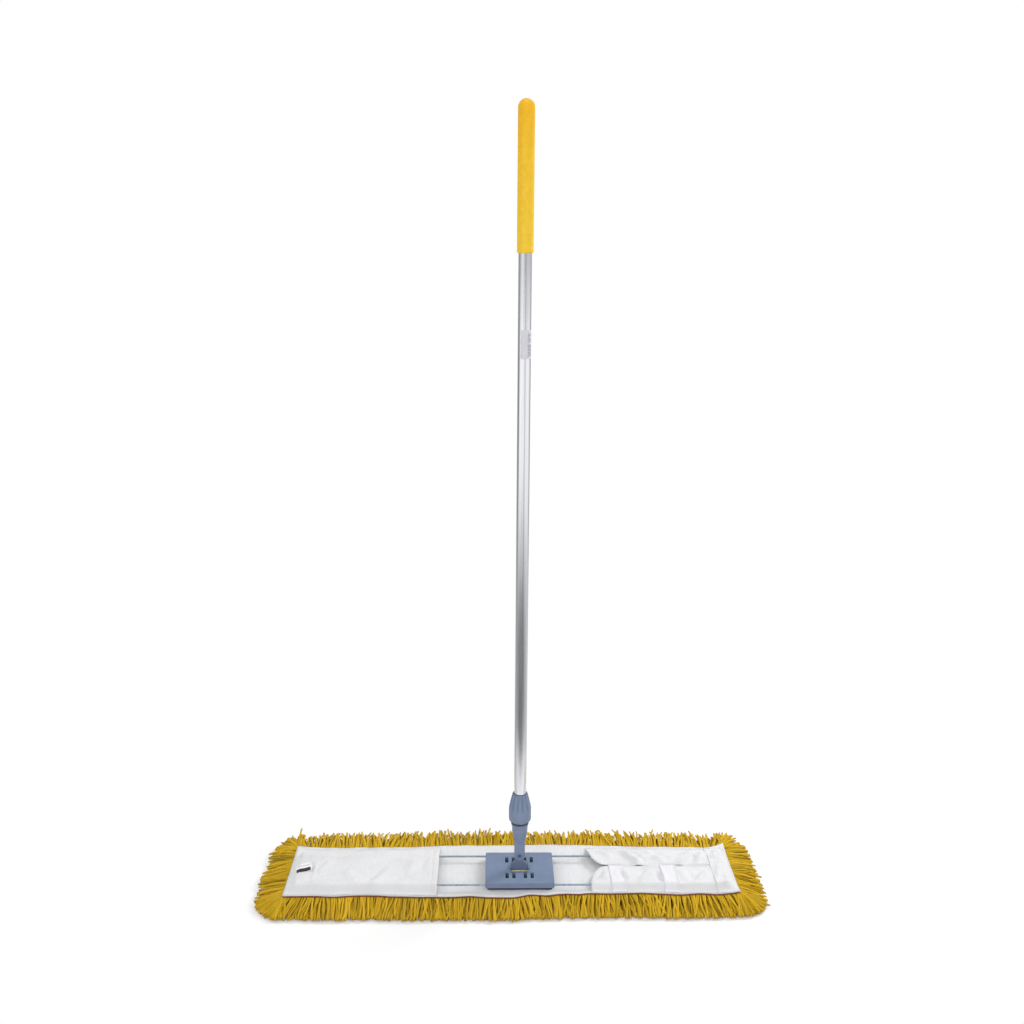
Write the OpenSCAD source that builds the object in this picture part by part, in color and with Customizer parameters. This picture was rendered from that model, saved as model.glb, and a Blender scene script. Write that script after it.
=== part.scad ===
// Flat dust mop: yarn pad on a wire frame with a two-way swivel and a tube handle.
// Millimetres, +Z up, +X along the pad, +Y to the rear. Origin on the floor under the pad centre.

/* [Pad] */
// Length of the canvas backing
backing_length = 950; // [600:10:1400]
// Depth of the canvas backing, front to rear
backing_depth = 190; // [140:5:240]
// Thickness of the canvas
canvas = 1.5; // [0.8:0.1:3]
// Height of the yarn pile under the backing
pile_height = 21.5; // [12:0.5:40]
// Reach of the fringe past the front edge
fringe_front_reach = 52; // [30:1:110]
// Reach of the fringe past the rear edge
fringe_rear_reach = 64; // [30:1:110]
// Reach of the fringe past the left and right ends
fringe_end_reach = 60; // [30:1:110]
// Height of the drooping fringe at its front and end tips
fringe_tip = 9; // [4:0.5:18]
// Height of the springy rear fringe at its tips
fringe_rear_tip = 24; // [4:0.5:30]

/* [Pocket and flaps] */
// Distance of the front seam from the pad centre
front_seam = 88; // [70:1:92]
// Distance of the rear seam from the pad centre
rear_seam = 80; // [60:1:92]
// Run of the panels from the front seam up to their flat
front_run = 16; // [8:1:30]
// Run of the panels from the rear seam up to their flat
rear_run = 28; // [8:1:40]
// Height of the free space under the panels
panel_space = 12.3; // [11:0.1:15]
// Mouth of the left pocket along X
pocket_mouth = -157; // [-250:1:-90]
// Start of the two flaps at their seams, along X
flap_start = 165; // [100:1:250]
// How far the flap corners are cut back at the slit
flap_cutback = 36; // [5:1:60]
// Start of the right end cap along X
cap_start = 428; // [380:1:450]
// Width of each closing strap
strap_width = 32; // [20:1:60]
// Thickness of each closing strap
strap_thickness = 1.2; // [0.6:0.1:2.5]
// Centre of the inner strap along X
inner_strap_x = 223; // [185:1:260]
// Centre of the outer strap along X
outer_strap_x = 333; // [280:1:400]
// Length of the sewn tag
tag_length = 34; // [20:1:60]

/* [Wire frame] */
// Frame centre along X
frame_x = 16; // [-40:1:40]
// Frame centre along Y
frame_y = -15; // [-30:1:30]
// Wire diameter
wire_d = 4; // [3:0.5:4]
// Height of the wires' centre line
wire_z = 33; // [32:0.1:33]
// Distance between the front and rear wires
wire_spacing = 108; // [80:1:140]
// Half length of the whole wire loop
wire_reach = 435; // [300:5:440]
// Bend radius of the wire
wire_bend = 20; // [10:1:40]

/* [Centre plate] */
// Length of the plate along X
plate_length = 144; // [132:1:180]
// Depth of the plate along Y
plate_depth = 118; // [114:1:140]
// Height of the plate's top face
plate_top = 40; // [39:0.5:50]
// Height of the plate's lower face, where it meets the clamp plate
plate_low = 28.5; // [27:0.5:28.5]
// Length of the window over the cross pin
window_length = 37; // [37:0.5:50]
// Depth of the window
window_depth = 34; // [30:0.5:36]
// Width of each slot
slot_width = 7; // [4:0.5:8]
// Length of each slot
slot_length = 20; // [10:0.5:20]

/* [Swivel] */
// Height of the cross pin's axis
pin_z = 31.6; // [30:0.1:33]
// Diameter of the cross pin
pin_d = 5.2; // [4:0.1:6]
// Outer radius of the knuckle on the cross pin
knuckle_r = 6.8; // [5.5:0.1:7.5]
// Height of the side pivot's axis
pivot_z = 73.6; // [70:0.1:80]
// Diameter of the side pivot pin
pivot_d = 6; // [4:0.1:8]
// Width of the swivel block at its foot
block_width = 36; // [30:0.5:36]

/* [Socket and nut] */
// Width of the socket's fork
fork_width = 22; // [18:0.5:22]
// Depth of the socket's fork
fork_depth = 21; // [18:0.5:21]
// Outer radius of the socket's neck
neck_r = 16.2; // [15:0.1:18]
// Outer radius of the socket's flange
flange_r = 18.5; // [17:0.1:22]
// Height of the flange's upper face
flange_top = 149.5; // [142:0.5:156]
// Outer radius of the threaded spigot
spigot_r = 16; // [15.2:0.1:17]
// Widest radius of the nut
nut_r = 23.5; // [21:0.1:28]
// Height of the nut's upper rim
nut_top = 216; // [214:1:230]
// Number of flutes on the nut
flutes = 12; // [8:1:24]

/* [Handle] */
// Outer diameter of the tube
tube_d = 25; // [20:0.5:32]
// Wall thickness of the tube
tube_wall = 1.2; // [0.8:0.1:2.5]
// Lower edge of the grip
grip_start = 1316; // [1100:1:1400]
// Overall height
total_height = 1585; // [1300:1:1700]
// Outer diameter of the grip
grip_d = 31; // [28:0.5:38]
// Lower edge of the sticker
label_start = 1122; // [900:1:1200]
// Height of the sticker
label_height = 54; // [20:1:90]

/* [Hidden] */
$fn = 64;
eps = 0.02;
gap = 0.3;
backing_top = pile_height + canvas;
half_l = backing_length / 2;
half_d = backing_depth / 2;
panel_low = backing_top + panel_space;
panel_mid = panel_low + canvas / 2;
panel_high = panel_low + canvas;
hinge_z = backing_top + canvas / 2 + 0.4;
clamp_low = backing_top + gap;
tube_r = tube_d / 2;
seat_z = 117.5;
tube_start = 120;
slot_x = [12.1, 26.4];
slot_y = 29.5;
screw_x = 56;
screw_y = 36;
grip_r = grip_d / 2;

// ---- small helpers ----

// Turns a Y-Z profile into a solid that runs along X.
module along_x(x0, x1) {
  translate([x0, 0, 0])
    rotate([90, 0, 90])
      linear_extrude(x1 - x0)
        children();
}

// Turns an X-Z profile into a solid that runs along Y.
module along_y(y0, y1) {
  translate([0, y1, 0])
    rotate([90, 0, 0])
      linear_extrude(y1 - y0)
        children();
}

function left_of(p, q) = [p.y - q.y, q.x - p.x] / norm(q - p);

// A strip of thickness t that runs from p to r with one mitred bend at q.
module bent_strip(p, q, r, t) {
  a = left_of(p, q) * t / 2;
  b = left_of(q, r) * t / 2;
  m = (a + b) / (1 + (a * b) / (t * t / 4));
  polygon([p + a, q + m, r + b, r - b, q - m, p - a]);
}

module rounded_rect(l, d, r) {
  square([l - 2 * r, d], center = true);
  square([l, d - 2 * r], center = true);
  for (sx = [-1, 1], sy = [-1, 1])
    translate([sx * (l / 2 - r), sy * (d / 2 - r)])
      circle(r);
}

module on_frame() {
  translate([frame_x, frame_y, 0])
    children();
}

module plate_slots() {
  for (x = slot_x, sx = [-1, 1], sy = [-1, 1])
    translate([sx * x - slot_width / 2, sy * slot_y - slot_length / 2, clamp_low - 1])
      cube([slot_width, slot_length, plate_top]);
}

module plate_window() {
  translate([-window_length / 2, -window_depth / 2, clamp_low - 1])
    cube([window_length, window_depth, plate_top]);
}

module wire_grooves() {
  for (s = [-1, 1])
    translate([-plate_length, s * wire_spacing / 2, wire_z])
      rotate([0, 90, 0])
        cylinder(r = wire_d / 2 + 0.05, h = 2 * plate_length);
}

module screw_places() {
  for (sx = [-1, 1], sy = [-1, 1])
    translate([sx * screw_x, sy * screw_y, 0])
      children();
}

// ---- handle ----

module handle_tube() {
  color("silver")
    on_frame()
      translate([0, 0, tube_start])
        difference() {
          cylinder(r = tube_r, h = total_height - 24 - tube_start);
          translate([0, 0, -1])
            cylinder(r = tube_r - tube_wall, h = total_height);
        }
}

module tube_end_plug() {
  color("dimgray")
    on_frame() {
      translate([0, 0, seat_z + gap])
        cylinder(r = tube_r - 0.1, h = tube_start - seat_z - gap);
      translate([0, 0, tube_start - eps])
        cylinder(r = tube_r - tube_wall - 0.05, h = 20);
    }
}

module hand_grip() {
  color("gold")
    on_frame()
      difference() {
        rotate_extrude()
          difference() {
            union() {
              translate([0, grip_start + 2])
                square([grip_r, total_height - grip_r - grip_start - 2]);
              translate([0, grip_start])
                polygon([[0, 0], [grip_r - 1.2, 0], [grip_r, 2.5], [0, 2.5]]);
              translate([0, total_height - grip_r])
                intersection() {
                  circle(grip_r);
                  square(grip_r);
                }
            }
            translate([0, grip_start - 1])
              square([tube_r + 0.05, total_height - 23 - grip_start + 1]);
          }
        // bead of the rolled lower lip
        translate([0, 0, grip_start + 6])
          rotate_extrude()
            translate([grip_r + 0.6, 0])
              circle(1, $fn = 24);
      }
}

module tube_label() {
  color("white")
    on_frame()
      translate([0, 0, label_start])
        rotate(-125)
          rotate_extrude(angle = 160)
            translate([tube_r + 0.01, 0])
              square([0.2, label_height]);
}

// ---- nut, ring, collet, socket ----

module clamp_nut() {
  nut_low = flange_top + 2.8;
  color("slategray")
    on_frame()
      difference() {
        rotate_extrude()
          polygon([[spigot_r + 0.35, nut_low], [nut_r - 4, nut_low], [nut_r - 0.9, nut_low + 3],
            [nut_r - 0.1, nut_low + 5.5], [nut_r, 162], [nut_r, 175], [nut_r - 0.4, 184],
            [nut_r - 1.9, 192], [nut_r - 3.9, 200.5], [nut_r - 6.2, 209.5], [nut_r - 7.6, nut_top - 0.8],
            [nut_r - 8.4, nut_top], [tube_r + 0.6, nut_top], [tube_r + 0.6, 206], [14.3, 205],
            [15.3, 186], [spigot_r + 0.35, 185]]);
        // flutes follow the slope and run out on the widest part
        for (i = [0:flutes - 1])
          rotate((i + 0.5) * 360 / flutes)
            translate([nut_r - 0.7, 0, 200])
              rotate([0, -13, 0])
                translate([0, 0, -34])
                  cylinder(r = 4.5, h = 60, $fn = 32);
      }
}

module slip_ring() {
  color("black")
    on_frame()
      translate([0, 0, flange_top + gap])
        difference() {
          cylinder(r = flange_r - 0.5, h = 2.2);
          translate([0, 0, -1])
            cylinder(r = spigot_r + 0.35, h = 5);
        }
}

module collet() {
  color("dimgray")
    on_frame()
      translate([0, 0, 184 + eps])
        difference() {
          cylinder(r1 = 14.7, r2 = 13.9, h = 20);
          translate([0, 0, -1])
            cylinder(r = tube_r + 0.06, h = 22);
          for (a = [0, 60, 120])
            rotate(a)
              translate([-20, -1, 4])
                cube([40, 2, 20]);
        }
}

module socket_body() {
  color("slategray")
    on_frame()
      difference() {
        union() {
          // fork and square stem with rounded corners
          intersection() {
            along_y(-fork_depth / 2, fork_depth / 2) {
              translate([0, pivot_z])
                circle(fork_width / 2);
              translate([-fork_width / 2, pivot_z])
                square([fork_width, 117 - pivot_z]);
            }
            translate([0, 0, 50])
              cylinder(r = 14.4, h = 70);
          }
          translate([0, 0, 101])
            cylinder(r1 = 11.2, r2 = neck_r, h = 28);
          translate([0, 0, 128.9])
            cylinder(r = neck_r, h = flange_top - 129);
          translate([0, 0, flange_top - 13])
            cylinder(r1 = neck_r, r2 = flange_r, h = 10);
          translate([0, 0, flange_top - 3.1])
            cylinder(r = flange_r, h = 3.1);
          // spigot that carries the nut's thread
          translate([0, 0, flange_top - 1])
            cylinder(r = spigot_r, h = 185 - flange_top);
        }
        // fork slot
        translate([-20, -5, 50])
          cube([40, 10, pivot_z + 9.9 - 50]);
        // round line pressed into the front face
        translate([0, 0.5 - fork_depth / 2, pivot_z])
          rotate([90, 0, 0])
            difference() {
              cylinder(r = 9.7, h = 2);
              translate([0, 0, -1])
                cylinder(r = 9.1, h = 4);
            }
        // pin hole
        translate([0, 20, pivot_z])
          rotate([90, 0, 0])
            cylinder(r = pivot_d / 2 + eps, h = 40);
        // tube bore and its drain hole
        translate([0, 0, seat_z])
          cylinder(r = tube_r + 0.06, h = 100);
        translate([0, 0, 80])
          cylinder(r = 3.5, h = 60);
      }
}

// ---- swivel ----

module side_pivot_pin() {
  color("silver")
    on_frame()
      translate([0, 0, pivot_z])
        rotate([90, 0, 0]) {
          translate([0, 0, -12.4])
            cylinder(r = pivot_d / 2, h = 23);
          translate([0, 0, fork_depth / 2 + eps])
            cylinder(r1 = 4.4, r2 = 3.6, h = 1);
        }
}

module pivot_retainer() {
  color("silver")
    on_frame()
      translate([0, fork_depth / 2 + 1, pivot_z])
        rotate([90, 0, 0])
          difference() {
            cylinder(r = 5, h = 0.9);
            translate([0, 0, -1])
              cylinder(r = pivot_d / 2 + eps, h = 3);
          }
}

module swivel_block() {
  color("slategray")
    on_frame()
      difference() {
        union() {
          translate([-block_width / 2, 0, pin_z])
            rotate([0, 90, 0])
              cylinder(r = knuckle_r, h = block_width);
          // thin web over the pin, so the block clears the window when it leans
          along_y(-3.5, 3.5)
            polygon([[-block_width / 2, pin_z], [block_width / 2, pin_z],
              [block_width / 2, 43], [16.6, 49], [12.5, 54.5], [8, 57], [-8, 57], [-12.5, 54.5],
              [-16.6, 49], [-block_width / 2, 43]]);
          along_y(-4.5, 4.5) {
            translate([-9, 53.5])
              square([18, pivot_z - 53.5]);
            translate([0, pivot_z])
              circle(9);
          }
        }
        // seat of the cross pin
        translate([-20, 0, pin_z])
          rotate([0, 90, 0])
            cylinder(r = pin_d / 2 + 0.05, h = 40);
        // snap opening of the knuckle, facing the front
        along_x(-20, 20)
          translate([0, pin_z])
            polygon(concat([[0, 0]], [for (a = [77:10:217]) 7.4 * [cos(a), sin(a)]]));
        translate([0, 20, pivot_z])
          rotate([90, 0, 0])
            cylinder(r = pivot_d / 2 + 0.06, h = 40);
      }
}

module cross_pin() {
  color("goldenrod")
    on_frame()
      translate([-27, 0, pin_z])
        rotate([0, 90, 0])
          cylinder(r = pin_d / 2, h = 54);
}

// ---- frame ----

module centre_plate() {
  color("slategray")
    on_frame()
      difference() {
        union() {
          intersection() {
            translate([0, 0, plate_low])
              linear_extrude(plate_top - plate_low)
                rounded_rect(plate_length, plate_depth, 4);
            along_x(-plate_length, plate_length)
              polygon([[-plate_depth / 2, 20], [-plate_depth / 2, plate_top - 1.2],
                [1.2 - plate_depth / 2, plate_top], [plate_depth / 2 - 1.2, plate_top],
                [plate_depth / 2, plate_top - 1.2], [plate_depth / 2, 20]]);
            along_y(-plate_depth, plate_depth)
              polygon([[-plate_length / 2, 20], [-plate_length / 2, plate_top - 1.2],
                [1.2 - plate_length / 2, plate_top], [plate_length / 2 - 1.2, plate_top],
                [plate_length / 2, plate_top - 1.2], [plate_length / 2, 20]]);
          }
          // raised ears over the pin's ends
          for (s = [-1, 1])
            translate([s * (window_length / 2 + 1.5) - 1.5, -8, plate_top - 1])
              cube([3, 16, 4]);
        }
        plate_window();
        plate_slots();
        wire_grooves();
        // channels that let the wires in from below
        for (s = [-1, 1])
          translate([-plate_length, s * wire_spacing / 2 - wire_d / 2 - 0.05, 20])
            cube([2 * plate_length, wire_d + 0.1, wire_z - 20]);
        // sloped front and rear edges of the window
        along_x(-window_length / 2, window_length / 2)
          polygon([[-window_depth / 2, plate_top - 2], [window_depth / 2, plate_top - 2],
            [window_depth / 2 + 2.1, plate_top + 0.1], [-window_depth / 2 - 2.1, plate_top + 0.1]]);
        // seat of the cross pin, open from below
        translate([-27.1, 0, pin_z])
          rotate([0, 90, 0])
            cylinder(r = pin_d / 2 + eps, h = 54.2);
        translate([-27.1, -pin_d / 2 - eps, 20])
          cube([54.2, pin_d + 2 * eps, pin_z - 20]);
        // hollows on the underside
        for (s = [-1, 1])
          difference() {
            translate([s * 51 - 15, -46, plate_low - 1])
              cube([30, 92, 9.5]);
            screw_places()
              cylinder(r = 5, h = plate_top);
          }
        screw_places()
          translate([0, 0, 20])
            cylinder(r = 1.75, h = 17.5);
        // release notches in the short sides
        for (sx = [-1, 1], sy = [-1, 1])
          translate([sx * plate_length / 2 - 2, sy * 22.5 - 4, 30])
            cube([4, 8, 5]);
      }
}

module clamp_plate() {
  color("slategray")
    on_frame()
      difference() {
        union() {
          translate([0, 0, clamp_low])
            linear_extrude(plate_low - clamp_low - eps)
              rounded_rect(plate_length - 8, plate_depth - 5, 4);
          // saddles under the pin's ends
          for (s = [-1, 1])
            translate([s * 22.9 - 3.9, -2.4, plate_low - 1])
              cube([7.8, 4.8, pin_z - pin_d / 2 - plate_low + 1 - eps]);
          // ribs that press the wires up into their grooves
          for (s = [-1, 1])
            translate([6 - plate_length / 2, s * wire_spacing / 2 - 1.8, plate_low - 1])
              cube([plate_length - 12, 3.6, wire_z - plate_low]);
        }
        plate_window();
        plate_slots();
        wire_grooves();
        screw_places()
          translate([0, 0, 20])
            cylinder(r = 1.75, h = 20);
        screw_places()
          translate([0, 0, 20])
            cylinder(r = 3.8, h = 5.2);
      }
}

module plate_screws() {
  color("silver")
    on_frame()
      screw_places() {
        translate([0, 0, clamp_low + 0.05])
          cylinder(r = 3.6, h = 1.8);
        translate([0, 0, clamp_low + 1])
          cylinder(r = 1.7, h = 12.5);
      }
}

// One half of the wire loop, drawn towards +X.
module wire_half() {
  half = wire_spacing / 2;
  straight = wire_reach - wire_bend;
  translate([0, 0, wire_z]) {
    for (s = [-1, 1])
      translate([3, s * half, 0])
        rotate([0, 90, 0])
          cylinder(d = wire_d, h = straight - 3, $fn = 32);
    translate([wire_reach, half - wire_bend, 0])
      rotate([90, 0, 0])
        cylinder(d = wire_d, h = wire_spacing - 2 * wire_bend, $fn = 32);
    for (s = [-1, 1])
      translate([straight, s * (half - wire_bend), 0])
        rotate(s > 0 ? 0 : -90)
          rotate_extrude(angle = 90)
            translate([wire_bend, 0])
              circle(d = wire_d, $fn = 32);
  }
}

module wire_left() {
  color("gainsboro")
    on_frame()
      mirror([1, 0, 0])
        wire_half();
}

module wire_right() {
  color("gainsboro")
    on_frame()
      wire_half();
}

// ---- textile ----

module mop_backing() {
  color("white")
    translate([-half_l, -half_d, pile_height])
      cube([backing_length, backing_depth, canvas]);
}

// Canvas hood sewn to the backing on three sides, mouth at x = 0, closed end at x = length.
module hood(length) {
  difference() {
    intersection() {
      along_x(-1, length + 1)
        polygon([[-front_seam - 5, backing_top], [-front_seam - 5, backing_top + canvas],
          [-front_seam - 0.3, backing_top + canvas], [front_run - front_seam - 0.3, panel_high],
          [rear_seam - rear_run + 0.3, panel_high], [rear_seam + 0.3, backing_top + canvas],
          [rear_seam + 5, backing_top + canvas], [rear_seam + 5, backing_top]]);
      along_y(-half_d, half_d)
        polygon([[0, backing_top], [0, panel_high], [length - 11.5, panel_high],
          [length - 3.5, backing_top + canvas], [length, backing_top + canvas],
          [length, backing_top]]);
    }
    intersection() {
      along_x(-2, length)
        polygon([[1 - front_seam, backing_top - 0.1], [front_run + 0.2 - front_seam, panel_low],
          [rear_seam - rear_run - 0.2, panel_low], [rear_seam - 1, backing_top - 0.1]]);
      along_y(-half_d, half_d)
        polygon([[-1, backing_top - 0.1], [-1, panel_low], [length - 12, panel_low],
          [length - 5, backing_top - 0.1]]);
    }
  }
}

module left_pocket() {
  color("ivory")
    translate([pocket_mouth, 0, 0])
      mirror([1, 0, 0])
        hood(half_l - 0.5 + pocket_mouth);
}

module right_end_cap() {
  color("ivory")
    translate([cap_start, 0, 0])
      hood(half_l - 0.5 - cap_start);
}

// Flap drawn from a seam at y = 0 to the slit at y = reach; run is the sloped part.
module flap(reach, run) {
  intersection() {
    along_x(flap_start, cap_start - 0.5) {
      bent_strip([0, hinge_z], [run, panel_mid], [reach, panel_mid], canvas);
      // rolled hem on the hinge line
      translate([0, hinge_z])
        circle(d = canvas + 0.2);
    }
    translate([0, 0, backing_top])
      linear_extrude(20)
        polygon(concat([[cap_start, reach + 1], [cap_start, -2], [flap_start, -2]],
          [for (a = [0:10:90])
            [flap_start + flap_cutback * (1 - cos(a)), (reach + 0.01) * sin(a)]],
          [[flap_start + flap_cutback, reach + 1]]));
  }
}

module rear_flap() {
  color("ivory")
    translate([0, rear_seam, 0])
      mirror([0, 1, 0])
        flap(rear_seam - 0.5, rear_run);
}

module front_flap() {
  color("ivory")
    translate([0, -front_seam, 0])
      flap(front_seam - 0.5, front_run);
}

// Strap that lies on the front flap from its seam to the slit.
module strap(x) {
  slope = atan2(panel_mid - hinge_z, front_run);
  lift = (canvas + strap_thickness) / 2 + 0.01;
  low = [5 * cos(slope) - lift * sin(slope), hinge_z + 5 * sin(slope) + lift * cos(slope)];
  knee = [front_run - lift * tan(slope / 2), panel_mid + lift];
  translate([0, -front_seam, 0])
    along_x(x - strap_width / 2, x + strap_width / 2)
      bent_strip(low, knee, [front_seam - 1.5, panel_mid + lift], strap_thickness);
}

module inner_strap() {
  color("whitesmoke")
    strap(inner_strap_x);
}

module outer_strap() {
  color("gainsboro")
    strap(outer_strap_x);
}

module care_tag() {
  color("white")
    translate([-444, -8, panel_high + eps])
      rotate(8)
        translate([-tag_length / 2, -13, 0])
          cube([tag_length, 26, 0.6]);
}

module yarn_pile() {
  color("goldenrod")
    linear_extrude(pile_height - eps)
      rounded_rect(backing_length - 1, backing_depth - 1, 6);
}

// Points on the rounded outer line of the fringe at one pad corner.
function fan(sx, sy, reach, a0, a1) =
  [for (i = [0:6]) let (a = a0 + (a1 - a0) * i / 6)
    [sx * (half_l + fringe_end_reach * cos(a)), sy * (half_d + reach * sin(a))]];

// Front strip of fringe: wedge section along X, trimmed to the fanned outline.
module long_fringe(reach, tip) {
  intersection() {
    along_x(-half_l - fringe_end_reach, half_l + fringe_end_reach)
      polygon([[-half_d, 0], [-half_d, pile_height - 0.2], [-half_d - reach, tip],
        [-half_d - reach, 0]]);
    linear_extrude(2 * pile_height)
      polygon(concat([[-half_l, -half_d], [half_l, -half_d]], fan(1, -1, reach, 46, 90),
        fan(-1, -1, reach, 90, 46)));
  }
}

// Right strip of fringe: wedge section along Y, trimmed to the fanned outline.
module end_fringe() {
  intersection() {
    along_y(-2 * half_d, 2 * half_d)
      polygon([[half_l, 0], [half_l, pile_height - 0.2],
        [half_l + fringe_end_reach, fringe_tip], [half_l + fringe_end_reach, 0]]);
    linear_extrude(pile_height)
      polygon(concat([[half_l, half_d], [half_l, -half_d]],
        fan(1, -1, fringe_front_reach, 44, 0), fan(1, 1, fringe_rear_reach, 0, 44)));
  }
}

module fringe_front() {
  color("goldenrod")
    long_fringe(fringe_front_reach, fringe_tip);
}

module fringe_rear() {
  color("goldenrod")
    mirror([0, 1, 0])
      long_fringe(fringe_rear_reach, fringe_rear_tip);
}

module fringe_left() {
  color("goldenrod")
    mirror([1, 0, 0])
      end_fringe();
}

module fringe_right() {
  color("goldenrod")
    end_fringe();
}

handle_tube();
tube_end_plug();
hand_grip();
tube_label();
clamp_nut();
slip_ring();
collet();
socket_body();
side_pivot_pin();
pivot_retainer();
swivel_block();
cross_pin();
centre_plate();
clamp_plate();
plate_screws();
wire_left();
wire_right();
mop_backing();
left_pocket();
right_end_cap();
rear_flap();
front_flap();
inner_strap();
outer_strap();
care_tag();
yarn_pile();
fringe_front();
fringe_rear();
fringe_left();
fringe_right();
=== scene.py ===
"""Flat dust mop: yarn, canvas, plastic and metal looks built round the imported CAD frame."""

import math

import bmesh
import bpy
import numpy as np
from mathutils import Matrix, Vector


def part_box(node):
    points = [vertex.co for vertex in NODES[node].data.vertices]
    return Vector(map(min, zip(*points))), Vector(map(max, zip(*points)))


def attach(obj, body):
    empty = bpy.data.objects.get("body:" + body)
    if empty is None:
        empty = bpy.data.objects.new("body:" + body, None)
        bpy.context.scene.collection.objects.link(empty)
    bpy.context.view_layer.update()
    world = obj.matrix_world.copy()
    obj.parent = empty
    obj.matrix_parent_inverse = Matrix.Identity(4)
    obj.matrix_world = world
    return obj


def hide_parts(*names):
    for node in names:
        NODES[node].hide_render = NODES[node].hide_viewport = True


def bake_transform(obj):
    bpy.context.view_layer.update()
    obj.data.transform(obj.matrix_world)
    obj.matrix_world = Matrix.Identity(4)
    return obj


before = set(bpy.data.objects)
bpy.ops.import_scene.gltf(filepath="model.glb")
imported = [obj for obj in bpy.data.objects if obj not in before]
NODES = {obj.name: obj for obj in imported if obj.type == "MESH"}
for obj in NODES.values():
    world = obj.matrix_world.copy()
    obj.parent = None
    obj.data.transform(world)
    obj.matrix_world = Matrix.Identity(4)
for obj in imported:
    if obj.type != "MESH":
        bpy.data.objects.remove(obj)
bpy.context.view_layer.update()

MM = 0.001
rng = np.random.default_rng(11)


def box_mm(node):
    """Lowest and highest corner of a CAD node, in millimetres."""
    low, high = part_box(node)
    return np.array(low) * 1000, np.array(high) * 1000


# All lengths are in millimetres unless a name or a comment says metres.
# X runs from left to right, Y from front to rear and Z up.
BACK_LO, BACK_HI = box_mm("mop_backing")
POCKET_LO, POCKET_HI = box_mm("left_pocket")
CAP_LO, CAP_HI = box_mm("right_end_cap")
FRONT_LO, FRONT_HI = box_mm("front_flap")
REAR_HI = box_mm("rear_flap")[1]
TUBE_LO, TUBE_HI = box_mm("handle_tube")
AXIS_X = (TUBE_LO[0] + TUBE_HI[0]) / 2
AXIS_Y = (TUBE_LO[1] + TUBE_HI[1]) / 2
TOP = BACK_HI[2]
SEAM_INSET = 0.75
SEAM_F = FRONT_LO[1] + SEAM_INSET
SEAM_R = REAR_HI[1] - SEAM_INSET


# ---- materials


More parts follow.
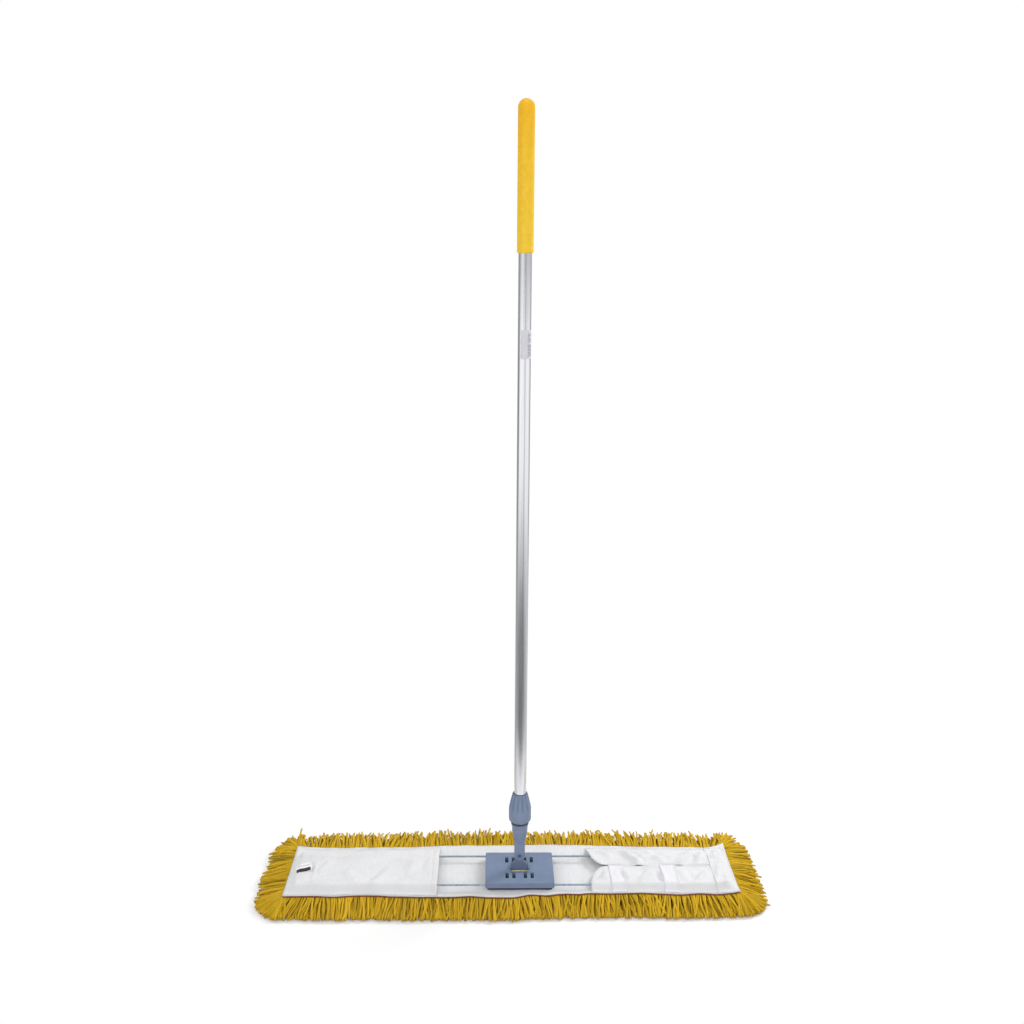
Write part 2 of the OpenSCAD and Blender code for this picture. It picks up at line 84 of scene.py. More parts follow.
class Shader:
    """A material with short calls for the nodes used here."""

    def __init__(self, name, color, rough, metal=0.0, **constants):
        self.mat = bpy.data.materials.new(name)
        self.mat.use_nodes = True
        self.tree = self.mat.node_tree
        self.bsdf = self.tree.nodes["Principled BSDF"]
        self.bsdf.inputs["Base Color"].default_value = (*color, 1)
        self.bsdf.inputs["Roughness"].default_value = rough
        self.bsdf.inputs["Metallic"].default_value = metal
        for key, value in constants.items():
            self.bsdf.inputs[key.replace("_", " ")].default_value = value
        self.color = color
        self.coords = self.add("ShaderNodeTexCoord").outputs["Object"]
        self.height = None

    def add(self, kind, **settings):
        node = self.tree.nodes.new(kind)
        for key, value in settings.items():
            setattr(node, key, value)
        return node

    def link(self, a, b):
        self.tree.links.new(a, b)

    def math(self, op, a, b=None, c=None):
        node = self.add("ShaderNodeMath", operation=op)
        for socket, value in zip(node.inputs, (a, b, c)):
            if value is None:
                continue
            if isinstance(value, (int, float)):
                socket.default_value = value
            else:
                self.link(value, socket)
        return node.outputs[0]

    def clamp(self, value):
        node = self.add("ShaderNodeClamp")
        self.link(value, node.inputs[0])
        return node.outputs[0]

    def split(self, source=None):
        """X, Y and Z of a vector, by default of the place on the object in metres."""
        node = self.add("ShaderNodeSeparateXYZ")
        self.link(source or self.coords, node.inputs[0])
        return node.outputs["X"], node.outputs["Y"], node.outputs["Z"]

    def stretched(self, scale, source=None):
        node = self.add("ShaderNodeVectorMath", operation="MULTIPLY")
        self.link(source or self.coords, node.inputs[0])
        node.inputs[1].default_value = scale
        return node.outputs[0]

    def noise(self, scale, detail=3.0, stretch=(1, 1, 1), rough=0.5):
        node = self.add("ShaderNodeTexNoise")
        self.link(self.stretched(stretch), node.inputs["Vector"])
        node.inputs["Scale"].default_value = scale
        node.inputs["Detail"].default_value = detail
        node.inputs["Roughness"].default_value = rough
        return node.outputs["Fac"]

    def wave(self, period, direction="X", vector=None, distort=0.0):
        """Bands that repeat once in a period of the vector's units."""
        node = self.add("ShaderNodeTexWave", bands_direction=direction)
        self.link(vector or self.coords, node.inputs["Vector"])
        node.inputs["Scale"].default_value = 2 * math.pi / 10 / period
        node.inputs["Distortion"].default_value = distort
        return node.outputs["Fac"]

    def ramp(self, value, stops):
        node = self.add("ShaderNodeValToRGB")
        while len(node.color_ramp.elements) < len(stops):
            node.color_ramp.elements.new(0.5)
        for element, (at, c) in zip(node.color_ramp.elements, stops):
            element.position = at
            element.color = (*c, 1)
        self.link(value, node.inputs["Fac"])
        return node.outputs["Color"]

    def mix(self, factor, a, b, blend="MIX"):
        node = self.add("ShaderNodeMix", data_type="RGBA", blend_type=blend)
        # the factor and the two colours among the node's sockets
        for index, value in ((0, factor), (6, a), (7, b)):
            if isinstance(value, (int, float)):
                node.inputs[index].default_value = value
            elif isinstance(value, tuple):
                node.inputs[index].default_value = (*value, 1)
            else:
                self.link(value, node.inputs[index])
        return node.outputs[2]

    def shade(self, factor, spread):
        """Base colour varied by +-spread with a factor from 0 to 1."""
        dark = tuple(c * (1 - spread) for c in self.color)
        light = tuple(min(1, c * (1 + spread)) for c in self.color)
        return self.ramp(factor, [(0.25, dark), (0.75, light)])

    def paint(self, color):
        self.link(color, self.bsdf.inputs["Base Color"])

    def rough(self, factor, low, high):
        node = self.add("ShaderNodeMapRange")
        self.link(factor, node.inputs["Value"])
        node.inputs["To Min"].default_value = low
        node.inputs["To Max"].default_value = high
        self.link(node.outputs["Result"], self.bsdf.inputs["Roughness"])

    def bump(self, height, distance, strength=1.0):
        node = self.add("ShaderNodeBump")
        node.inputs["Distance"].default_value = distance
        node.inputs["Strength"].default_value = strength
        self.link(height, node.inputs["Height"])
        if self.height is not None:
            self.link(self.height, node.inputs["Normal"])
        self.height = node.outputs["Normal"]
        self.link(self.height, self.bsdf.inputs["Normal"])


SHADOW_TONE = 0.34  # how dark the shadowed part of a plastic is


def plastic(name, color, rough, grain=0.00008, shadow=None):
    """Moulded plastic with a fine grain; shadow gives a dark part from 0 to 1."""
    s = Shader(name, color, rough, Specular_IOR_Level=0.45)
    tone = s.shade(s.noise(38, 4), 0.07)
    if shadow:
        tone = s.mix(shadow(s), tone, tuple(SHADOW_TONE * c for c in color))
    s.paint(tone)
    s.rough(s.noise(160, 3), rough - 0.06, rough + 0.09)
    s.bump(s.noise(900, 2), grain, 0.6)
    s.bump(s.noise(60, 2), 0.0002, 0.35)
    return s.mat


def weave(name, color, thread, strength=0.6, sheen=0.25):
    """Plain-woven cloth: warp and weft threads, slubs and a little soiling."""
    s = Shader(name, color, 0.92, Sheen_Weight=sheen, Specular_IOR_Level=0.2)
    warp = s.wave(thread, "X")
    weft = s.wave(thread, "Y")
    crossing = s.math("MULTIPLY", warp, weft)
    height = s.math("ADD", s.math("MAXIMUM", warp, weft), crossing)
    soil = s.shade(s.noise(9, 5, rough=0.6), 0.035)
    slub = s.ramp(s.noise(420, 2, (1, 0.12, 1)), [(0.3, (0.93, 0.93, 0.92)), (0.7, (1, 1, 1))])
    s.paint(s.mix(1.0, soil, slub, "MULTIPLY"))
    s.bump(height, thread * 0.3, strength)
    s.bump(s.noise(130, 3), 0.0004, 0.4)
    return s


def yarn(name, color):
    """Plied yarn: twisted strands from the UV map with painted shade in the grooves between the plies, and a
    tone of its own for each strand that also carries painted shade for lower layers.
    """
    s = Shader(name, color, 0.88, Sheen_Weight=0.05, Specular_IOR_Level=0.12)
    uv = s.add("ShaderNodeTexCoord").outputs["UV"]
    ply = s.wave(1.0, "DIAGONAL", s.stretched((3, 1, 0), uv))
    fibre = s.wave(0.25, "DIAGONAL", s.stretched((6, 0.7, 0), uv), 1.5)
    tone = s.add("ShaderNodeAttribute", attribute_name="tone").outputs["Fac"]
    red, green, blue = color
    own = s.ramp(tone, [(0.0, (red * 0.5, green * 0.5, blue * 0.65)), (0.5, color),
                        (1.0, (red * 1.25, green * 1.27, blue * 1.6))])
    # painted shade: darker colour in the grooves between the twisted plies
    groove = s.ramp(ply, [(0.0, (0.62, 0.58, 0.5)), (0.45, (1, 1, 1))])
    s.paint(s.mix(1.0, own, groove, "MULTIPLY"))
    s.bump(ply, 0.0009, 0.9)
    s.bump(fibre, 0.0002, 0.5)
    return s.mat


FLUTES = 12.0  # round the nut
FLUTE_FOOT = 0.178  # height in metres where the flutes start
SOCKET_RIM = 0.1465  # height in metres of the socket's rim below the nut


def painted_flute_shade(s):
    """Painted shade in the flutes of the nut: darker along each flute's middle, above the flutes' foot."""
    x, y, z = s.split()
    turn = s.math("ARCTAN2", s.math("SUBTRACT", y, AXIS_Y * MM), s.math("SUBTRACT", x, AXIS_X * MM))
    groove = s.math("MULTIPLY", s.math("COSINE", s.math("MULTIPLY", turn, FLUTES)), -1.0)
    deep = s.math("MULTIPLY", s.math("SUBTRACT", groove, 0.45), 1.4)
    above = s.math("MULTIPLY", s.math("SUBTRACT", z, FLUTE_FOOT), 90.0)
    return s.math("MULTIPLY", s.clamp(s.math("MINIMUM", deep, above)), 0.55)


def painted_shade_under_nut(s):
    """Painted shade: a dark line on the socket's rim in the shadowed gap below the nut."""
    z = s.split()[2]
    return s.clamp(s.math("MULTIPLY", s.math("SUBTRACT", z, SOCKET_RIM), 1200.0))


BLUE_GREY = (0.165, 0.214, 0.324)
MAT = {
    # the nut's and the socket's plastics carry painted shade, in the nut's flutes and on the socket's rim
    # under the nut
    "nut": plastic("plastic_nut", BLUE_GREY, 0.42, shadow=painted_flute_shade),
    "socket": plastic("plastic_socket", BLUE_GREY, 0.42, shadow=painted_shade_under_nut),
    "plate": plastic("plastic_plate", (0.164, 0.215, 0.324), 0.5, 0.00012),
    "dark": plastic("plastic_dark", (0.02, 0.024, 0.03), 0.4),
    "yarn": yarn("yarn_mustard", (0.70, 0.445, 0.016)),
    # yarn_core is the mustard yarn darkened: painted shade deep in the pile
    "core": yarn("yarn_core", (0.30, 0.185, 0.007)),
    "canvas": weave("canvas_white", (0.805, 0.808, 0.824), 0.0009).mat,
    "strap": weave("strap_tape", (0.755, 0.75, 0.79), 0.0005, 0.4, 0.1).mat,
    "thread": weave("thread_white", (0.66, 0.65, 0.63), 0.0004).mat,
    # dark rust-brown of the edge cord: partly thread colour and partly painted shade under the canvas edge
    "rust": weave("thread_rust", (0.21, 0.062, 0.02), 0.0006).mat,
}


def tube_material():
    """Bright drawn aluminium with fine streaks along the tube."""
    s = Shader("aluminium_drawn", (0.76, 0.77, 0.80), 0.2, 1.0)
    streak = s.noise(520, 3, (1, 1, 0.012))
    s.paint(s.shade(streak, 0.05))
    s.rough(s.noise(140, 4, (1, 1, 0.05)), 0.12, 0.26)
    s.bump(streak, 0.00003, 0.5)
    s.bump(s.noise(25, 2), 0.0002, 0.15)
    return s.mat


def grip_material():
    """Yellow sleeve, mottled and more orange toward its top."""
    s = Shader("grip_yellow", (0.83, 0.455, 0.014), 0.5, Specular_IOR_Level=0.35, Coat_Weight=0.05)
    low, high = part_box("hand_grip")
    along = s.math("DIVIDE", s.math("SUBTRACT", s.split()[2], low.z), high.z - low.z)
    tone = s.ramp(along, [(0.0, (0.96, 0.65, 0.06)), (0.6, (0.955, 0.595, 0.04)),
                          (1.0, (0.945, 0.52, 0.014))])
    cloudy = s.ramp(s.noise(16, 4), [(0.25, (0.94, 0.94, 0.94)), (0.75, (1, 1, 1))])
    mottled = s.ramp(s.noise(110, 4, rough=0.7), [(0.36, (0.96, 0.9, 0.35)), (0.64, (1, 1, 1))])
    s.paint(s.mix(1.0, s.mix(1.0, tone, cloudy, "MULTIPLY"), mottled, "MULTIPLY"))
    pitch = 0.0042
    diamond = s.math("MAXIMUM", s.wave(pitch, "DIAGONAL"),
                     s.wave(pitch, "DIAGONAL", s.stretched((-1, -1, 1))))
    s.rough(s.noise(200, 2), 0.42, 0.62)
    s.bump(diamond, 0.0005, 0.55)
    s.bump(s.noise(700, 2), 0.0001, 0.5)
    return s.mat


def metal(name, color, rough, grain, metallic=1.0):
    s = Shader(name, color, rough, metallic)
    s.paint(s.shade(s.noise(70, 4), 0.14))
    s.rough(s.noise(220, 4), rough - 0.08, rough + 0.15)
    s.bump(s.noise(600, 3), grain, 0.6)
    return s.mat


def wire_material():
    """Dull galvanised wire with a faint spangle."""
    s = Shader("wire_galvanised", (0.30, 0.37, 0.45), 0.5, 0.3)
    spangle = s.add("ShaderNodeTexVoronoi")
    s.link(s.coords, spangle.inputs["Vector"])
    spangle.inputs["Scale"].default_value = 170
    s.paint(s.shade(spangle.outputs["Distance"], 0.16))
    s.rough(s.noise(150, 3), 0.36, 0.58)
    s.bump(s.noise(500, 3), 0.0002, 0.5)
    return s.mat


def label_material():
    """Plain film with a few generic grey bars; it says nothing."""
    s = Shader("label_film", (0.66, 0.65, 0.70), 0.35, Coat_Weight=0.2)
    low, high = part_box("tube_label")
    x, _, z = s.split()
    right = s.math("GREATER_THAN", x, AXIS_X * MM + 0.0062)
    line = s.math("GREATER_THAN", s.wave(0.0052, "Z"), 0.55)
    cut = s.math("GREATER_THAN", s.noise(240, 1, (0.2, 0.2, 1)), 0.42)
    inside = s.math("MULTIPLY", s.math("GREATER_THAN", z, low.z + 0.005),
                    s.math("LESS_THAN", z, high.z - 0.006))
    bars = s.math("MULTIPLY", s.math("MULTIPLY", right, line), s.math("MULTIPLY", cut, inside))
    film = s.shade(s.noise(60, 3), 0.04)
    s.paint(s.mix(bars, film, (0.24, 0.22, 0.25)))
    s.bump(s.noise(90, 2), 0.0001, 0.3)
    return s.mat


def tag_material():
    """White woven tag with one plain dark band and one thin grey line."""
    white = (0.82, 0.82, 0.81)
    s = weave("tag_cloth", white, 0.0004, 0.4)
    u, v, _ = s.split(s.add("ShaderNodeTexCoord").outputs["UV"])

    def within(value, low, high):
        return s.math("MULTIPLY", s.math("GREATER_THAN", value, low), s.math("LESS_THAN", value, high))

    ragged = s.math("ADD", v, s.math("MULTIPLY", s.noise(500, 2), 0.06))
    band = s.math("MULTIPLY", within(ragged, 0.09, 0.50), within(u, 0.05, 0.93))
    line = s.math("MULTIPLY", within(ragged, 0.70, 0.80), within(u, 0.12, 0.95))
    first = s.mix(band, white, (0.035, 0.015, 0.03))
    s.paint(s.mix(s.math("MULTIPLY", line, 0.55), first, (0.28, 0.24, 0.3)))
    return s.mat


def dress(node, material):
    """Gives a CAD node its material in every slot."""
    mesh = NODES[node].data
    if not mesh.materials:
        mesh.materials.append(material)
    for i in range(len(mesh.materials)):
        mesh.materials[i] = material


for node, material in {
    "handle_tube": tube_material(),
    "hand_grip": grip_material(),
    "tube_label": label_material(),
    "tube_end_plug": MAT["dark"],
    "clamp_nut": MAT["nut"],
    "slip_ring": MAT["dark"],
    "collet": MAT["dark"],
    "socket_body": MAT["socket"],
    "swivel_block": plastic("plastic_swivel", (0.14, 0.182, 0.277), 0.42),
    "side_pivot_pin": metal("zinc_pin", (0.15, 0.19, 0.27), 0.5, 0.00005),
    "pivot_retainer": metal("zinc_ring", (0.5, 0.52, 0.56), 0.4, 0.00005),
    # the brass pin's pale, near-white yellow with little metal is partly its brass colour and partly a painted
    # highlight
    "cross_pin": metal("brass_pin", (0.95, 0.90, 0.62), 0.3, 0.00003, 0.3),
    "centre_plate": MAT["plate"],
    # the clamp plate's near-black colour is painted shade for the shadowed gap under the centre plate
    "clamp_plate": plastic("plastic_clamp_plate_painted_shade", (0.03, 0.038, 0.055), 0.5),
    "plate_screws": metal("screw_steel", (0.52, 0.53, 0.56), 0.35, 0.00005),
}.items():
    dress(node, material)
galvanised = wire_material()
dress("wire_left", galvanised)
dress("wire_right", galvanised)


# ---- mesh helpers


def make_piece(name, verts_mm, quads, material, body, uv=None, tone=None):
    """A mesh piece from quads, in millimetres, riding on a body."""
    mesh = bpy.data.meshes.new(name)
    count = len(quads)
    mesh.vertices.add(len(verts_mm))
    mesh.vertices.foreach_set("co", (np.asarray(verts_mm) * MM).astype(np.float32).ravel())
    mesh.loops.add(4 * count)
    mesh.loops.foreach_set("vertex_index", np.asarray(quads, np.int32).ravel())
    mesh.polygons.add(count)
    mesh.polygons.foreach_set("loop_start", np.arange(0, 4 * count, 4, dtype=np.int32))
    mesh.polygons.foreach_set("use_smooth", np.ones(count, bool))
    if uv is not None:
        layer = mesh.uv_layers.new(name="UVMap")
        layer.data.foreach_set("uv", np.asarray(uv, np.float32).ravel())
    if tone is not None:
        mesh.attributes.new("tone", "FLOAT", "POINT")
        mesh.attributes["tone"].data.foreach_set("value", np.asarray(tone, np.float32))
    mesh.update(calc_edges=True)
    mesh.validate()
    mesh.materials.append(material)
    piece = bpy.data.objects.new(name, mesh)
    bpy.context.scene.collection.objects.link(piece)
    if body:
        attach(piece, body)
    return piece


def strands(name, paths, radius, material, body, sides=6, ref=(0, 0, 1), pitch=4.2, tones=None):
    """Round yarns along paths of shape (strands, points, 3); none may run along ref."""
    paths = np.asarray(paths, float)
    n, m, _ = paths.shape
    along = np.gradient(paths, axis=1)
    along /= np.linalg.norm(along, axis=2, keepdims=True) + 1e-9
    ref = np.broadcast_to(np.asarray(ref, float), along.shape)
    side = np.cross(along, ref)
    side /= np.linalg.norm(side, axis=2, keepdims=True) + 1e-9
    up = np.cross(along, side)
    angle = np.arange(sides) * 2 * math.pi / sides
    r = np.broadcast_to(np.asarray(radius, float).reshape(-1, 1), (n, m)).copy()
    r[:, -1] *= 0.8
    ring = (np.cos(angle)[None, None, :, None] * side[:, :, None]
            + np.sin(angle)[None, None, :, None] * up[:, :, None])
    verts = paths[:, :, None] + r[:, :, None, None] * ring
    index = np.arange(n * m * sides).reshape(n, m, sides)
    a, b = index[:, :-1], index[:, 1:]
    quads = np.stack([a, np.roll(a, -1, 2), np.roll(b, -1, 2), b], -1).reshape(-1, 4)
    step = np.linalg.norm(np.diff(paths, axis=1), axis=2)
    length = np.concatenate([np.zeros((n, 1)), np.cumsum(step, 1)], 1) / pitch
    u = np.broadcast_to((np.arange(sides) / sides)[None, None], (n, m - 1, sides))
    va = np.broadcast_to(length[:, :-1, None], (n, m - 1, sides))
    vb = np.broadcast_to(length[:, 1:, None], (n, m - 1, sides))
    w = u + 1 / sides
    uv = np.stack([np.stack(corner, -1) for corner in ((u, va), (w, va), (w, vb), (u, vb))], 3)
    caps = []
    for ring_index, flip in ((index[:, 0], True), (index[:, -1], False)):
        for j in range(1, sides - 2, 2):
            quad = ring_index[:, [0, j, j + 1, j + 2]]
            caps.append(quad[:, ::-1] if flip else quad)
    caps = np.concatenate(caps)
    quads = np.concatenate([quads, caps])
    uv = np.concatenate([uv.reshape(-1, 2), np.zeros((len(caps) * 4, 2))])
    if tones is None:
        tones = rng.random(n)
    tone = np.repeat(tones, m * sides)
    return make_piece(name, verts.reshape(-1, 3), quads, material, body, uv, tone)


def smooth01(t):
    t = np.clip(t, 0, 1)
    return t * t * (3 - 2 * t)


def table(pairs):
    """Smooth interpolation through a short list of (x, value)."""
    xs, ys = zip(*pairs)
    fine = np.linspace(xs[0], xs[-1], 400)
    half = 6
    window = np.hanning(2 * half + 1)
    window /= window.sum()
    soft = np.convolve(np.pad(np.interp(fine, xs, ys), half, mode="edge"), window, mode="valid")
    return lambda x: np.interp(x, fine, soft)


# how far the free canvas edges rise and draw in, along X, in millimetres
front_wave = table([(-475, 4), (-405, 5), (-370, 2), (-328, 6), (-292, 6.5), (-255, 3), (-185, 0.5), (-120, 0),
                    (-85, 3), (-45, -2), (0, -3), (37, 8), (72, 4), (96, 9), (113, 10), (141, 8), (158, 12),
                    (199, 10), (270, 12), (317, 8.5), (348, 6), (389, 10), (426, 6.5), (453, 10), (475, 15)])
rear_wave = table([(-475, 6), (-448, -1), (-388, -5.5), (-310, -3.5), (-233, -2.5), (-175, 1), (-137, 4.5),
                   (0, 4.5), (90, 7), (192, 3), (294, -3), (360, -5.5), (430, -9), (452, -5), (475, 8)])


PULL_F, PULL_R = 42, 38  # how far in from each edge the canvas still moves
LIFT = 0.30  # share of an edge's wave that lifts it


def edge_pull(x, y):
    """Draw-in along Y and rise of the canvas near its front and rear edges."""
    near_f = smooth01((y - BACK_LO[1] - PULL_F) / -PULL_F)
    near_r = smooth01((BACK_HI[1] - PULL_R - y) / -PULL_R)
    f, r = front_wave(x), rear_wave(x)
    dy = near_f * f * 0.62 + near_r * r * 0.55
    dz = near_f * np.maximum(f, -1) * LIFT + near_r * np.maximum(r, -1.5) * LIFT
    return dy, dz


CREASE_GAIN = 2.3  # all folds are this much deeper than their own height says


def crease(x, y, x0, y0, x1, y1, width, height):
    """One soft fold between two points of a panel."""
    d = np.array([x1 - x0, y1 - y0], float)
    size = np.hypot(*d)
    d /= size
    s = (x - x0) * d[0] + (y - y0) * d[1]
    t = -(x - x0) * d[1] + (y - y0) * d[0]
    fade = smooth01(s / (0.35 * size)) * smooth01((size - s) / (0.35 * size))
    fold = np.exp(-(t / width) ** 2) - 0.55 * np.exp(-((t - 1.7 * width) / width) ** 2)
    return CREASE_GAIN * height * fade * fold


def creased(X, Y, Z, folds, share=1.0):
    """Adds folds, each given as two points, a width and a height."""
    for fold in folds:
        Z = Z + crease(X, Y, *fold) * share
    return Z


def ripple(x, y, seed, scale, height):
    """Low soft undulation from a few seeded sine waves."""
    own = np.random.default_rng(seed)
    z = np.zeros_like(x)
    for _ in range(7):
        a = own.uniform(0, 2 * math.pi)
        k = 2 * math.pi / (scale * own.uniform(0.6, 1.7))
        z += np.sin(k * (x * math.cos(a) + y * math.sin(a)) + own.uniform(0, 6.28))
    return height * z / 4


def cloth(name, X, Y, Z, thickness, material, slot, body):
    """A closed sheet with real thickness from a grid of its middle surface."""
    P = np.stack([X, Y, Z], -1)
    du = np.gradient(P, axis=0)
    dv = np.gradient(P, axis=1)
    normal = np.cross(du, dv)
    normal /= np.linalg.norm(normal, axis=2, keepdims=True) + 1e-9
    if normal[..., 2].mean() < 0:
        normal = -normal
    a, b = X.shape
    top = P + normal * thickness / 2
    low = P - normal * thickness / 2
    verts = np.concatenate([top.reshape(-1, 3), low.reshape(-1, 3)])
    index = np.arange(a * b).reshape(a, b)
    q = np.stack([index[:-1, :-1], index[1:, :-1], index[1:, 1:], index[:-1, 1:]], -1).reshape(-1, 4)
    flip = np.cross(P[1, 0] - P[0, 0], P[0, 1] - P[0, 0])[2] < 0
    up = q[:, ::-1] if flip else q
    down = (q if flip else q[:, ::-1]) + a * b
    rim = np.concatenate([index[0, :], index[1:, -1], index[-1, -2::-1], index[-2:0:-1, 0]])
    nxt = np.roll(rim, -1)
    wall = np.stack([rim, nxt, nxt + a * b, rim + a * b], -1)
    quads = np.concatenate([up, down, wall])
    u = np.linspace(0, 1, a)[:, None] * np.ones((1, b))
    v = np.ones((a, 1)) * np.linspace(0, 1, b)[None]
    flat = np.stack([u, v], -1).reshape(-1, 2)
    uv = np.concatenate([flat, flat])[quads.reshape(-1)]
    piece = make_piece(name, verts, quads, material, body, uv)
    bm = bmesh.new()
    bm.from_mesh(piece.data)
    bmesh.ops.recalc_face_normals(bm, faces=bm.faces)
    bm.to_mesh(piece.data)
    bm.free()
    return piece


def grid(x0, x1, y0, y1, step):
    """X and Y over a rectangle, about one step apart."""
    nx = max(3, int(round(abs(x1 - x0) / step)) + 1)
    ny = max(3, int(round(abs(y1 - y0) / step)) + 1)
    return np.meshgrid(np.linspace(x0, x1, nx), np.linspace(y0, y1, ny), indexing="ij")


# ---- canvas


PANEL_THICK = 1.1  # a pocket, cap or flap
HEM = 11  # width of the turned hem at the pocket's mouth


def backing():
    """Canvas sheet, flat below the plate and wavy at its edges."""
    X, Y = grid(BACK_LO[0], BACK_HI[0], BACK_LO[1], BACK_HI[1], 5)
    dy, dz = edge_pull(X, Y)
    edge = np.minimum.reduce([Y - BACK_LO[1], BACK_HI[1] - Y, X - BACK_LO[0], BACK_HI[0] - X])
    hem = 0.5 * smooth01((9 - edge) / 3)
    under_plate = smooth01((np.abs(X - AXIS_X) - 66) / 20)
    Z = (BACK_LO[2] + TOP) / 2 + dz + hem + 0.45 * ripple(X, Y, 3, 60, 1.0) * under_plate - 0.35
    corner = smooth01((X - 440) / 35) * smooth01((Y - 60) / 35)
    return cloth("canvas_backing", X, Y + dy, Z + 3 * corner, 1.2, MAT["canvas"], "white_canvas", "head")


WIRE_LO, WIRE_HI = box_mm("wire_left")
WIRE_END = box_mm("wire_right")[1][0]
WIRE_R = (WIRE_HI[2] - WIRE_LO[2]) / 2
WIRE_Z = (WIRE_HI[2] + WIRE_LO[2]) / 2
SEWN = TOP + 0.8  # middle of a panel where it is sewn down
PANEL = POCKET_HI[2] - 0.6  # middle of a panel over the wires


def over_wires(X, Y, Z):
    """Keeps a panel's middle surface above the wire loop it lies on."""
    reach = WIRE_R + 0.68
    lines = [np.abs(Y - (WIRE_LO[1] + WIRE_R)), np.abs(Y - (WIRE_HI[1] - WIRE_R)),
             np.abs(X - (WIRE_LO[0] + WIRE_R)), np.abs(X - (WIRE_END - WIRE_R))]
    inside = (X > WIRE_LO[0] - 1) & (X < WIRE_END + 1) & (Y > WIRE_LO[1] - 1) & (Y < WIRE_HI[1] + 1)
    for d in lines:
        top = WIRE_Z + np.sqrt(np.clip(reach ** 2 - d ** 2, 0, None))
        Z = np.where((d < reach) & inside, np.maximum(Z, top), Z)
    return Z


def bend(t):
    """Rise from 0 to 1 that is softer at its ends than a straight line."""
    t = np.clip(t, 0, 1)
    return 0.25 * t + 0.75 * smooth01(t)


def panel_height(X, Y, sag=3.0, top=None):
    """Middle surface of a panel that is sewn front and rear and lies over the two wires."""
    top = PANEL if top is None else top
    z = SEWN + (top - SEWN) * np.minimum(bend((Y - SEAM_F) / 19.5), bend((SEAM_R - Y) / 36))
    low, high = WIRE_LO[1] + WIRE_R, WIRE_HI[1] - WIRE_R
    return z - sag * np.sin(np.pi * np.clip((Y - low) / (high - low), 0, 1))


FOLLOW = 0.8  # share of the backing's edge movement that a panel follows


def edges(X, Y, Z):
    """Moves a panel with the edges of the backing below it."""
    dy, dz = edge_pull(X, Y)
    return X, Y + dy * FOLLOW, Z + dz * FOLLOW


def panel(name, X, Y, height, body="head"):
    """A canvas panel over the wires; height gives its middle surface."""
    X, Y, Z = edges(X, Y, height(X, Y))
    return cloth(name, X, Y, Z, PANEL_THICK, MAT["canvas"], "white_canvas", body)


def pocket_z(X, Y):
    """Middle surface of the closed pocket."""
    closed = bend((X - POCKET_LO[0] - 3) / 22)
    Z = SEWN + (panel_height(X, Y, 3.4) - SEWN) * closed
    Z = creased(X, Y, Z, [
        (-452, 30, -372, 36, 11, 2.2), (-392, 28, -300, 44, 11, 2.6), (-330, 36, -225, 66, 10, 2.4),
        (-300, -84, -252, 8, 10, 2.2), (-262, 30, -196, 12, 9, 1.8), (-412, -30, -388, 22, 9, 1.9),
        (-432, -70, -372, -40, 9, 1.7), (-250, -72, -186, -30, 10, 1.6), (-358, -10, -322, -66, 10, 1.9),
        (-186, -20, -170, 50, 8, 1.4), (-222, -50, -205, 40, 9, 1.3)], closed)
    Z = Z + ripple(X, Y, 5, 52, 0.75) * closed
    past_hem = X - (POCKET_HI[0] - HEM)
    Z = Z + 0.5 * smooth01(past_hem / 1.5) - 0.7 * np.exp(-(past_hem / 1.3) ** 2)
    return np.maximum(over_wires(X, Y, Z), SEWN)


def left_pocket():
    X, Y = grid(POCKET_LO[0] + 1, POCKET_HI[0], SEAM_F - 4, SEAM_R + 4, 2.8)
    return panel("canvas_left_pocket", X, Y, pocket_z)


def cap_z(X, Y):
    """Middle surface of the right end cap."""
    x1 = CAP_HI[0]
    closed = bend((x1 - 2 - X) / 20)
    Z = SEWN + (panel_height(X, Y, 2.4, PANEL + 0.9) - SEWN) * closed
    Z = creased(X, Y, Z, [
        (432, -60, 448, 14, 6, 1.5), (434, 20, 456, 66, 6, 1.5), (440, -80, 464, -36, 6, 1.3)])
    Z = Z + ripple(X, Y, 8, 40, 0.5) * closed - 0.6 * np.exp(-((X - (x1 - 12)) / 1.3) ** 2)
    return np.maximum(over_wires(X, Y, Z) + 0.5, SEWN)


def end_cap():
    X, Y = grid(CAP_LO[0] - 1.5, CAP_HI[0] - 1, SEAM_F - 4, SEAM_R + 4, 2.6)
    return panel("canvas_end_cap", X, Y, cap_z)


FLAP_X0, FLAP_X1 = FRONT_LO[0], FRONT_HI[0]
CUTBACK = 36.0  # how far the rounded corner of a flap lies behind its seam's end


def flap_left(t):
    """Left edge of a flap from its seam (0) to the slit (1)."""
    t = np.clip(t, 0, 1)
    return FLAP_X0 + CUTBACK * (1 - np.sqrt(np.clip(1 - t * t, 0, 1)))


def front_z(X, Y):
    """Middle surface of the front flap."""
    Z = creased(X, Y, panel_height(X, Y, 2.6), [
        (262, -74, 303, -10, 8, 3.0), (324, -72, 314, -8, 6, 2.0), (246, -64, 240, -8, 6, 1.8),
        (192, -72, 204, -8, 8, 2.0), (356, -8, 372, -70, 8, 1.9), (384, -66, 418, -20, 8, 2.0),
        (176, -60, 196, -40, 7, 1.4)])
    Z = Z + ripple(X, Y, 12, 46, 0.6)
    left = flap_left((Y - SEAM_F) / (-0.9 - SEAM_F))
    Z = Z - 1.4 * smooth01((12 - (X - left)) / 12) * smooth01((Y - SEAM_F) / 20)
    return np.maximum(over_wires(X, Y, Z), SEWN)


